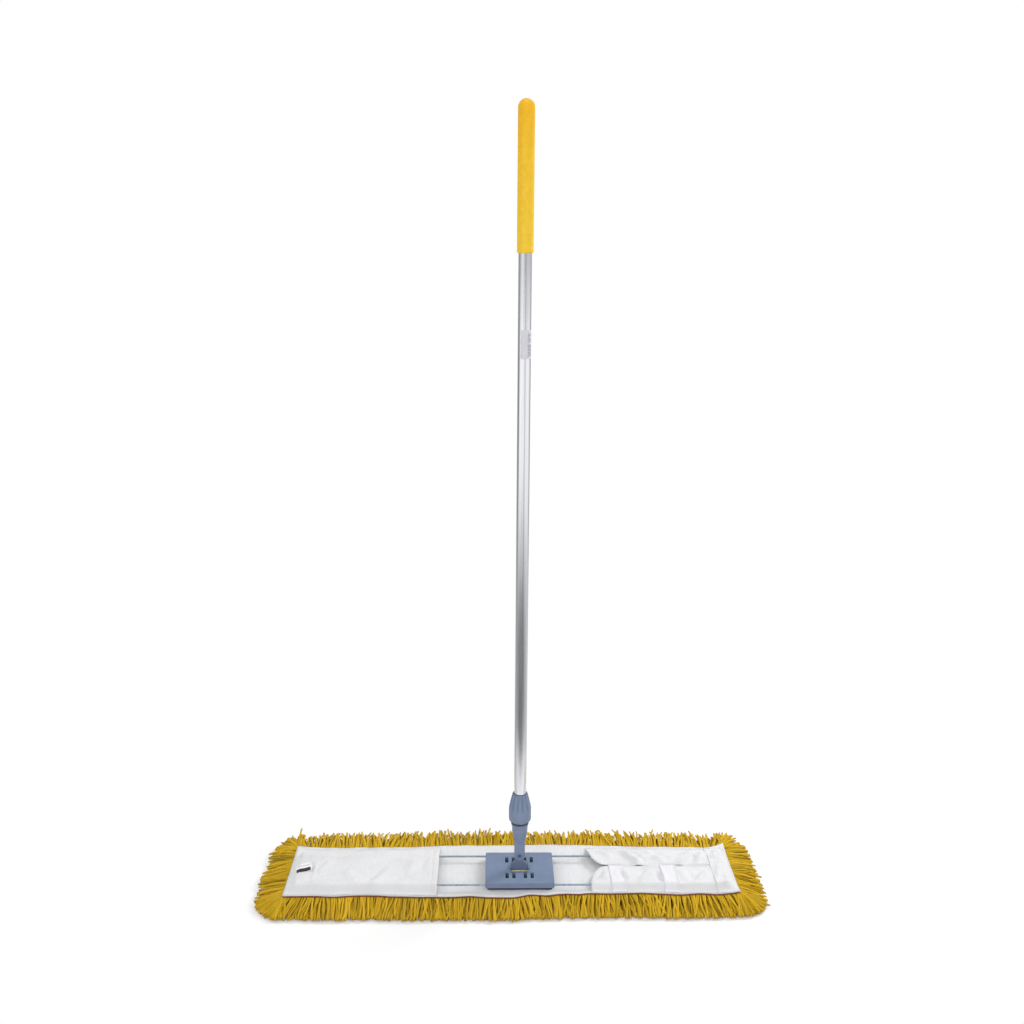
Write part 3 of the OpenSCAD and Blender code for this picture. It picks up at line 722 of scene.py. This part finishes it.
def rear_z(X, Y):
    """Middle surface of the rear flap."""
    Z = creased(X, Y, panel_height(X, Y, 1.6), [
        (232, 70, 283, -4, 8, 3.2), (408, 66, 352, -4, 9, 3.0), (300, 80, 297, 34, 9, 2.0),
        (296, 40, 262, 4, 8, 1.8), (304, 40, 334, 4, 8, 1.8), (182, 72, 222, 24, 8, 1.8),
        (398, 8, 420, 60, 7, 1.6)])
    Z = Z + ripple(X, Y, 15, 42, 0.6)
    left = flap_left((SEAM_R - Y) / (SEAM_R - 0.9))
    Z = Z + 1.3 * smooth01((14 - (X - left)) / 14) * smooth01((SEAM_R - Y) / 20)
    return np.maximum(over_wires(X, Y, Z), SEWN)


def flap_grid(slit, seam, outside):
    """Grid over a flap: u runs left to right, v from outside the seam to the slit."""
    nu, nv = 92, 40
    u = np.linspace(0, 1, nu)[:, None] * np.ones((1, nv))
    v = np.ones((nu, 1)) * np.linspace(0, 1, nv)[None]
    Y = seam + outside + (slit - seam - outside) * v
    left = flap_left((Y - seam) / (slit - seam))
    return left + (FLAP_X1 - left) * u, Y


def sewn_to_head(piece):
    """Bakes the piece's placement into its mesh and returns it."""
    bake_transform(piece)
    return piece


def front_flap():
    X, Y = flap_grid(-0.2, SEAM_F, -4)
    piece = panel("canvas_front_flap", X, Y, front_z, None)
    return sewn_to_head(piece)


def rear_flap():
    X, Y = flap_grid(0.5, SEAM_R, 4)
    piece = panel("canvas_rear_flap", X, Y, rear_z, None)
    return sewn_to_head(piece)


def strap_z(X, Y, low):
    """Middle surface of a tape on the front flap."""
    return front_z(X, Y) + 1.2 + 0.3 * np.sin((Y + low[0]) / 11)


def strap(name, node):
    low, high = box_mm(node)
    X, Y = grid(low[0], high[0], SEAM_F - 3, high[1] + 0.8, 2.4)
    rim = np.minimum(X - low[0], high[0] - X)
    Z = strap_z(X, Y, low) + 0.2 * smooth01((3 - rim) / 2)
    piece = cloth(name, *edges(X, Y, Z), 1.0, MAT["strap"], "strap_tape", None)
    return sewn_to_head(piece)


def care_tag():
    """Small sewn tag that stands off the pocket at one edge."""
    low, high = box_mm("care_tag")
    cx, cy = (low[0] + high[0]) / 2, (low[1] + high[1]) / 2
    U, V = grid(-17, 17, -12.5, 12.5, 1.5)
    a = math.radians(12)
    X = cx + U * math.cos(a) - V * math.sin(a)
    Y = cy + U * math.sin(a) + V * math.cos(a)
    lift = smooth01((V + 12.5) / 25) * 4.5 + 2.2 * smooth01((U - 2) / 15)
    return cloth("woven_tag", X, Y, pocket_z(X, Y) + 0.95 + lift, 0.5, tag_material(), "tag_cloth", "head")


# ---- yarn


def perimeter(side, s):
    """Point on the canvas edge and the outward angle there, in degrees."""
    if side == "front":
        dy, dz = edge_pull(s, np.full_like(s, BACK_LO[1]))
        return np.stack([s, BACK_LO[1] + dy], -1), dz
    if side == "rear":
        dy, dz = edge_pull(s, np.full_like(s, BACK_HI[1]))
        return np.stack([s, BACK_HI[1] + dy], -1), dz
    x = np.full_like(s, BACK_LO[0] if side == "left" else BACK_HI[0])
    dy, dz = edge_pull(x, s)
    return np.stack([x, s + dy * 0.9], -1), dz


NORMAL = {"front": -90.0, "rear": 90.0, "left": 180.0, "right": 0.0}
TURN = {"front": -1, "rear": 1, "left": 1, "right": -1}  # sign of a turn toward the side's low end
CORNER_FAN = 47  # degrees that the yarns turn toward a corner
FLOOR_GAP = 1.9  # lowest place of a yarn's middle


def reach_of(angle):
    """Horizontal reach and tip height of the fringe by outward direction."""
    a = np.radians(angle)
    back, front, end = np.maximum(np.sin(a), 0), np.maximum(-np.sin(a), 0), np.abs(np.cos(a))
    total = back + front + end
    reach = (61 * back + 55 * front + 64 * end) / total
    tip = (22 * back ** 1.5 + 3.2 * front + 4.5 * end) / total
    return reach * (1 - 0.1 * np.abs(np.sin(2 * a))), tip


def fringe_roots(own, side, low, high, count, layers):
    """Layer, place along the edge and outward angle of each group of yarns on a side."""
    roots = []
    extra = 22
    for layer in range(layers):
        s = np.linspace(low + 1, high - 1, count) + own.uniform(-1.2, 1.2, count)
        s = np.clip(s, low + 0.5, high - 0.5)
        turn = CORNER_FAN * np.exp(-(s - low) / 26.0) - CORNER_FAN * np.exp(-(high - s) / 26.0)
        roots.append((layer, s, NORMAL[side] + TURN[side] * turn))
        # extra yarns fan out from the two corners
        for corner, inward in ((low, 1), (high, -1)):
            fan = own.uniform(0, CORNER_FAN, extra)
            s = np.full(extra, corner) + inward * own.uniform(0.5, 9, extra)
            roots.append((layer, s, NORMAL[side] + TURN[side] * inward * fan))
    return roots


def fringe_paths(side, count, layers, seed):
    """Paths and tones of all the yarns on one side of the canvas."""
    own = np.random.default_rng(seed)
    along_x = side in ("front", "rear")
    low, high = (BACK_LO[0], BACK_HI[0]) if along_x else (BACK_LO[1], BACK_HI[1])
    across = np.array([1.0, 0.0]) if along_x else np.array([0.0, 1.0])
    shortest = 0.84 if along_x else 0.78
    clumping = 0.5 if side == "front" else 0.35
    bow = 0.9 if side == "rear" else 1.55
    t = np.linspace(0, 1, 13)
    groups = []
    tones = []
    for layer, s, angle in fringe_roots(own, side, low, high, count, layers):
        n = len(s)
        xy, dz = perimeter(side, s)
        reach, tip = reach_of(angle)
        depth = layer / max(1, layers - 1)
        z0 = (BACK_LO[2] - 1.9 + dz) * (1 - depth) + 4.0 * depth
        z1 = tip * (1 - depth) + 2.2 * depth + own.uniform(0, 2.0, n)
        length = reach * own.uniform(shortest, 1.07, n) * (1 - 0.05 * depth)
        # neighbouring yarns gather into clumps
        clump = np.cumsum(own.uniform(9, 22, 160)) - 40 + low
        gather = clump[np.clip(np.searchsorted(clump, s), 0, len(clump) - 1)] - s
        gather = np.clip(gather - 7, -9, 9) * own.uniform(0.05, clumping, n)
        # a few yarns lie well across the others
        lean = 7.0 * np.sin(s / 31.0 + layer) + 6.0 * np.sin(s / 12.7 + 2 * layer) + own.normal(0, 5.5, n)
        lean = lean + own.uniform(-32, 32, n) * (own.random(n) < 0.06)
        a = np.radians(angle + lean)
        out = np.stack([np.cos(a), np.sin(a)], -1)
        phase = own.uniform(0, 2 * math.pi, (n, 1))
        sway = own.uniform(0.8, 3.2, (n, 1)) * (
            np.sin(t[None] * own.uniform(2.5, 6.5, (n, 1)) + phase) - np.sin(phase)) * t[None]
        sideways = np.stack([-out[:, 1], out[:, 0]], -1)
        start = xy - out * 3.0
        P = np.zeros((n, len(t), 3))
        P[:, :, :2] = (start[:, None] + out[:, None] * (length[:, None] * t[None])[..., None]
                       + across * (gather[:, None] * t[None] ** 1.5)[..., None]
                       + sideways[:, None] * sway[..., None])
        P[:, :, 2] = z0[:, None] + (z1 - z0)[:, None] * t[None] ** bow
        if side == "rear":
            # the rear yarns stand up a little and curl at their tips
            kick = own.random(n) < 0.2
            rise = own.uniform(1, 9, n) * kick + own.normal(0, 1.6, n)
            P[:, :, 2] += np.clip(rise, -3, 9)[:, None] * t[None] ** 2 * (1 - depth)
            P[:, :, 2] += (2.2 * (1 - depth)) * np.sin(np.pi * t)[None]
            curl = own.uniform(-11, 11, n) * (own.random(n) < 0.4)
            P[:, :, 0] += curl[:, None] * t[None] ** 3
        P[:, :, 2] += own.normal(0, 0.5, (n, 1)) * t[None]
        P[:, :, 2] = np.maximum(P[:, :, 2], FLOOR_GAP)
        groups.append(P)
        # tone varies at random per yarn and is lower in the deeper layers, as painted shade between and under
        # the yarns
        tones.append(np.clip(own.normal(0.58 - 0.16 * depth, 0.2, n), 0, 1))
    return np.concatenate(groups), np.concatenate(tones)


def fringes():
    """The loose yarns of the four sides, in four layers each."""
    made = []
    for side, count, seed in (("front", 250, 21), ("rear", 290, 22), ("left", 46, 23), ("right", 46, 24)):
        paths, tones = fringe_paths(side, count, 4, seed)
        radius = np.random.default_rng(seed + 50).uniform(1.7, 2.35, len(paths))
        piece = strands("yarn_fringe_" + side, paths, radius, MAT["yarn"], "head",
                        ref=(0.02, 0.01, 1.0), tones=tones)
        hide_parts("fringe_" + side)
        made.append(piece)
    return made


def pile():
    """Yarn underneath: rows of tufts that lie outward from their seams, round a soft core whose darkened yarn
    colour is painted shade deep in the pile.
    """
    own = np.random.default_rng(31)
    X, Y = grid(BACK_LO[0] + 9, BACK_HI[0] - 9, BACK_LO[1] + 8, BACK_HI[1] - 8, 7)
    Z = 12.5 + ripple(X, Y, 33, 24, 1.0)
    core = cloth("yarn_core", X, Y, Z, 9.5, MAT["core"], "mustard_yarn", "head")
    made = [core]
    n = 268  # yarns on each side of a row's seam
    t = np.linspace(0, 1, 10)
    for part, seam in enumerate((-64, 0, 64)):
        groups = []
        for direction in (-1, 1):
            s = np.linspace(BACK_LO[0] + 5, BACK_HI[0] - 5, n) + own.uniform(-1, 1, n)
            length = own.uniform(31, 39, n)
            skew = own.normal(0, 4, n) + 4 * np.sin(s / 24)
            wobble = own.uniform(0.2, 1.0, (n, 1)) * np.sin(t[None] * 9 + own.uniform(0, 6, (n, 1)))
            x = s[:, None] + skew[:, None] * t[None] ** 1.3 + wobble
            z = 19 - 16.4 * np.minimum(1, t * 2.2)[None] ** 0.7 + own.uniform(-0.3, 1.8, (n, 1)) * t[None]
            P = np.zeros((n, len(t), 3))
            P[:, :, 0] = np.clip(x, BACK_LO[0] + 2, BACK_HI[0] - 2)
            P[:, :, 1] = seam + direction * (length[:, None] * t[None] ** 0.9)
            P[:, :, 2] = np.maximum(z, 2.05)
            groups.append(P)
        paths = np.concatenate(groups)
        radius = own.uniform(1.8, 2.2, len(paths))
        tones = np.clip(own.normal(0.42, 0.2, len(paths)), 0, 1)
        made.append(strands(f"yarn_pile_{part + 1}", paths, radius, MAT["yarn"], "head",
                            ref=(1.0, 0.02, 0.0), tones=tones))
    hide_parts("yarn_pile")
    return made


# ---- stitching


def stitch_line(points, height, gap=4.6, length=3.3):
    """Short thread stitches along a line on a panel; height gives Z at each point."""
    points = np.asarray(points, float)
    step = np.linalg.norm(np.diff(points, axis=0), axis=1)
    total = np.concatenate([[0], np.cumsum(step)])
    starts = np.arange(1, total[-1] - length, gap)
    out = []
    for f, lift in ((0, -0.25), (0.25, 0.22), (0.75, 0.22), (1, -0.25)):
        at = starts + f * length
        x = np.interp(at, total, points[:, 0])
        y = np.interp(at, total, points[:, 1])
        out.append(np.stack([x, y, height(x, y) + lift], -1))
    return np.stack(out, 1)


def stitches(name, groups, body):
    """One piece of white thread from groups of stitches."""
    paths = np.concatenate(groups)
    return strands(name, paths, np.full(len(paths), 0.32), MAT["thread"], body,
                   sides=4, ref=(0.3, 0.2, 1))


def on_panel(surface, lift=0.62):
    """Height of thread that lies on a panel's surface."""
    return lambda x, y: surface(x, y) + edge_pull(x, y)[1] * FOLLOW + lift


def pulled(points, share=FOLLOW):
    """Points that follow the canvas edge along Y."""
    return [(x, y + edge_pull(np.array([x]), np.array([y]))[0][0] * share) for x, y in points]


def head_stitches():
    """Seams of the pocket, the flaps and the cap, and the hem of the backing."""
    groups = []

    def sewn_down(x, y):
        return np.full_like(x, SEWN)

    for x0, x1 in ((POCKET_LO[0] + 5, POCKET_HI[0] - 1), (FLAP_X0 + 1, FLAP_X1 - 2),
                   (CAP_LO[0] + 2, CAP_HI[0] - 5)):
        for y in (SEAM_F - 1.5, SEAM_R + 2.0):
            row = pulled([(x, y) for x in np.linspace(x0, x1, 60)])
            groups.append(stitch_line(row, on_panel(sewn_down, 0.7)))
    ys = np.linspace(SEAM_F, SEAM_R, 40)
    groups.append(stitch_line([(POCKET_LO[0] + 4.5, y) for y in ys], on_panel(pocket_z, 0.6)))
    groups.append(stitch_line([(CAP_HI[0] - 4, y) for y in ys], on_panel(cap_z, 0.6)))
    ys = np.linspace(SEAM_F + 6, SEAM_R - 6, 60)
    groups.append(stitch_line([(POCKET_HI[0] - HEM, y) for y in ys], on_panel(pocket_z, 0.75)))

    def edge_height(x, y):
        return (BACK_LO[2] + TOP) / 2 + edge_pull(x, y)[1] + 0.75

    for y in (BACK_LO[1] + 3.2, BACK_HI[1] - 4.0):
        xs = np.linspace(BACK_LO[0] + 5, BACK_HI[0] - 5, 160)
        groups.append(stitch_line(pulled([(x, y) for x in xs], 1.0), edge_height))
    return stitches("thread_on_head", groups, "head")


def edge_cord():
    """Rust-brown overlock thread along the canvas edge against the yarn; its dark line partly stands in for
    the contact shadow under the edge as painted shade.
    """
    xs = np.linspace(BACK_LO[0] + 1, BACK_HI[0] - 1, 640)
    turns = np.arange(len(xs)) * 2 * math.pi / 4
    paths = []
    for y, outward in ((BACK_LO[1], -1), (BACK_HI[1], 1)):
        dy, dz = edge_pull(xs, np.full_like(xs, y))
        paths.append(np.stack([xs, y + dy + outward * (1.7 + 0.5 * np.cos(turns)),
                               BACK_LO[2] + dz + 0.6 * np.sin(turns)], -1))
    return strands("rust_cord_and_edge_shade", paths, [1.45, 0.9], MAT["rust"], "head",
                   ref=(0.02, 0.3, 1.0))


def flap_stitches():
    """Thread along the free edges of each flap and on the tapes."""
    made = []
    slit = np.linspace(FLAP_X0 + CUTBACK + 4, FLAP_X1 - 3, 50)
    for name, seam, end, row, surface, body in (
            ("thread_on_front_flap", SEAM_F, -0.9, -5.2, front_z, "front_flap"),
            ("thread_on_rear_flap", SEAM_R, 0.9, 5.2, rear_z, "rear_flap")):
        corner = [(float(flap_left(t)) + 4, seam + (end - seam) * t) for t in np.linspace(0.2, 0.96, 24)]
        lines = ([(x, row) for x in slit], corner)
        made.append(stitches(name, [stitch_line(line, on_panel(surface)) for line in lines], body))
    sewn = []
    for node in ("inner_strap", "outer_strap"):
        low, high = box_mm(node)
        for x in (low[0] + 2.2, high[0] - 2.2):
            ys = np.linspace(SEAM_F + 6, high[1] - 3, 40)
            sewn.append(stitch_line([(x, y) for y in ys], on_panel(lambda a, b: strap_z(a, b, low))))
    made.append(stitches("thread_on_straps", sewn, "front_flap"))
    return made


# ---- the textile's pieces

canvas, pocket, cap, flap_f, flap_r = backing(), left_pocket(), end_cap(), front_flap(), rear_flap()
strap_a, strap_b = strap("strap_inner", "inner_strap"), strap("strap_outer", "outer_strap")
tag = care_tag()
for piece, node in ((canvas, "mop_backing"), (pocket, "left_pocket"), (cap, "right_end_cap"),
                    (flap_f, "front_flap"), (flap_r, "rear_flap"), (strap_a, "inner_strap"),
                    (strap_b, "outer_strap"), (tag, "care_tag")):
    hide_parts(node)
yarns = fringes() + pile()
head_thread = head_stitches()
cord = edge_cord()
thread_f, thread_r, thread_s = flap_stitches()


# ---- stage, light, camera


def stage():
    """Pale floor that fades into the white background away from the mop."""
    bpy.ops.mesh.primitive_circle_add(vertices=96, radius=12, fill_type="NGON", location=(0, 0, -0.0005))
    floor = bpy.context.object
    floor.name = "floor"
    s = Shader("floor_pale", (0.90, 0.90, 0.90), 0.9)
    s.paint(s.shade(s.noise(3, 3), 0.006))
    out = s.tree.nodes["Material Output"]
    clear = s.add("ShaderNodeBsdfTransparent")
    fade = s.add("ShaderNodeMixShader")
    size = s.add("ShaderNodeVectorMath", operation="LENGTH")
    nearer = s.add("ShaderNodeVectorMath", operation="ADD")
    s.link(s.stretched((0.72, 1, 1)), nearer.inputs[0])
    nearer.inputs[1].default_value = (0, 0.12, 0)
    s.link(nearer.outputs[0], size.inputs[0])
    edge = s.add("ShaderNodeMapRange", interpolation_type="SMOOTHSTEP")
    s.link(size.outputs["Value"], edge.inputs["Value"])
    edge.inputs["From Min"].default_value = 0.31
    edge.inputs["From Max"].default_value = 0.62
    s.link(edge.outputs["Result"], fade.inputs[0])
    s.link(s.bsdf.outputs[0], fade.inputs[1])
    s.link(clear.outputs[0], fade.inputs[2])
    s.link(fade.outputs[0], out.inputs["Surface"])
    floor.data.materials.append(s.mat)


def area_light(name, at, to, size, watts, mirrored=False):
    """A softbox; mirrored ones show in reflections."""
    light = bpy.data.lights.new(name, "AREA")
    light.shape = "RECTANGLE"
    light.size, light.size_y = size
    light.energy = watts
    holder = bpy.data.objects.new(name, light)
    bpy.context.scene.collection.objects.link(holder)
    holder.location = at
    holder.rotation_euler = (Vector(to) - Vector(at)).to_track_quat("-Z", "Y").to_euler()
    holder.visible_glossy = mirrored


def lights():
    """Surroundings for the tube to mirror, and five softboxes."""
    world = bpy.data.worlds.new("studio")
    bpy.context.scene.world = world
    world.use_nodes = True
    tree = world.node_tree
    background = tree.nodes["Background"]
    background.inputs["Strength"].default_value = 1.25

    def calc(op, *values):
        node = tree.nodes.new("ShaderNodeMath")
        node.operation = op
        for socket, value in zip(node.inputs, values):
            if isinstance(value, (int, float)):
                socket.default_value = value
            else:
                tree.links.new(value, socket)
        return node.outputs[0]

    def grey_ramp(value, stops):
        """Greys by direction in degrees: 0 is the front, -90 the left and 90 the right."""
        node = tree.nodes.new("ShaderNodeValToRGB")
        while len(node.color_ramp.elements) < len(stops):
            node.color_ramp.elements.new(0.5)
        for element, (degrees, grey) in zip(node.color_ramp.elements, stops):
            element.position = degrees / 360 + 0.5
            element.color = (grey, grey, grey, 1)
        tree.links.new(value, node.inputs["Fac"])
        return node.outputs["Color"]

    def blend_by(value, low, high, a, b):
        """Colour a up to low and colour b from high."""
        span = tree.nodes.new("ShaderNodeMapRange")
        span.interpolation_type = "SMOOTHSTEP"
        tree.links.new(value, span.inputs["Value"])
        span.inputs["From Min"].default_value = low
        span.inputs["From Max"].default_value = high
        node = tree.nodes.new("ShaderNodeMix")
        node.data_type = "RGBA"
        tree.links.new(span.outputs["Result"], node.inputs[0])
        tree.links.new(a, node.inputs[6])
        tree.links.new(b, node.inputs[7])
        return node.outputs[2]

    # grey above, bright at the level of the mop, and a dark floor in front
    split = tree.nodes.new("ShaderNodeSeparateXYZ")
    tree.links.new(tree.nodes.new("ShaderNodeTexCoord").outputs["Generated"], split.inputs[0])
    x, y, z = split.outputs
    turn = calc("ARCTAN2", x, calc("MULTIPLY", y, -1.0))
    around = calc("ADD", calc("DIVIDE", turn, 2 * math.pi), 0.5)
    high = grey_ramp(around, [
        (-180, 0.55), (-150, 0.3), (-98, 0.34), (-74, 0.42), (-50, 0.66), (-32, 0.64), (-15, 0.42),
        (0, 0.25), (14, 0.27), (40, 0.4), (70, 0.38), (104, 0.4), (155, 0.4), (180, 0.55)])
    level = grey_ramp(around, [
        (-180, 0.7), (-150, 0.3), (-98, 0.24), (-78, 1.0), (3, 1.0), (12, 0.5), (24, 0.85),
        (34, 1.0), (70, 1.0), (104, 0.8), (124, 0.3), (160, 0.4), (180, 0.7)])
    low = grey_ramp(around, [
        (-180, 0.5), (-110, 0.36), (-64, 0.2), (-20, 0.1), (26, 0.13), (60, 0.3), (120, 0.6),
        (150, 0.4), (180, 0.5)])
    sky = blend_by(z, -0.085, -0.035, level, high)
    whole = blend_by(z, -0.342, -0.222, low, sky)
    tree.links.new(whole, background.inputs["Color"])
    # the camera itself sees plain white
    seen = tree.nodes.new("ShaderNodeBackground")
    seen.inputs["Color"].default_value = (1.0, 1.0, 1.0, 1)
    seen.inputs["Strength"].default_value = 1.0
    path = tree.nodes.new("ShaderNodeLightPath")
    mix = tree.nodes.new("ShaderNodeMixShader")
    tree.links.new(path.outputs["Is Camera Ray"], mix.inputs[0])
    tree.links.new(background.outputs[0], mix.inputs[1])
    tree.links.new(seen.outputs[0], mix.inputs[2])
    tree.links.new(mix.outputs[0], tree.nodes["World Output"].inputs["Surface"])
    area_light("key", (2.0, 1.4, 1.45), (0, 0, 0.05), (0.9, 0.9), 50)
    area_light("back_left", (-2.0, 1.5, 1.35), (0, 0, 0.05), (0.6, 0.6), 19)
    area_light("top", (0.2, 0.2, 3.2), (0, 0, 0), (1.8, 1.8), 14, mirrored=True)
    area_light("front", (-0.9, -2.9, 1.5), (0, 0, 0.2), (1.6, 1.4), 34)
    area_light("fill", (1.9, -1.8, 1.7), (0, 0, 0.4), (1.4, 1.8), 14)


def camera():
    """Camera from the fit, 2.1 m in front, 1.36 m high and pitched down."""
    data = bpy.data.cameras.new("camera")
    data.lens = 38.79
    data.sensor_width = 36
    holder = bpy.data.objects.new("camera", data)
    bpy.context.scene.collection.objects.link(holder)
    yaw, pitch, roll = math.radians(1.0015), math.radians(14.4733), math.radians(0.4032)
    forward = Vector((math.sin(yaw) * math.cos(pitch), math.cos(yaw) * math.cos(pitch), -math.sin(pitch)))
    level = Vector((math.cos(yaw), -math.sin(yaw), 0))
    upright = level.cross(forward)
    right = math.cos(roll) * level + math.sin(roll) * upright
    up = -math.sin(roll) * level + math.cos(roll) * upright
    turn = Matrix((right, up, -forward)).transposed().to_4x4()
    holder.matrix_world = Matrix.Translation((-0.0416, -2.1034, 1.3619)) @ turn
    bpy.context.scene.camera = holder


stage()
lights()
camera()
bpy.context.scene.view_settings.view_transform = "Standard"
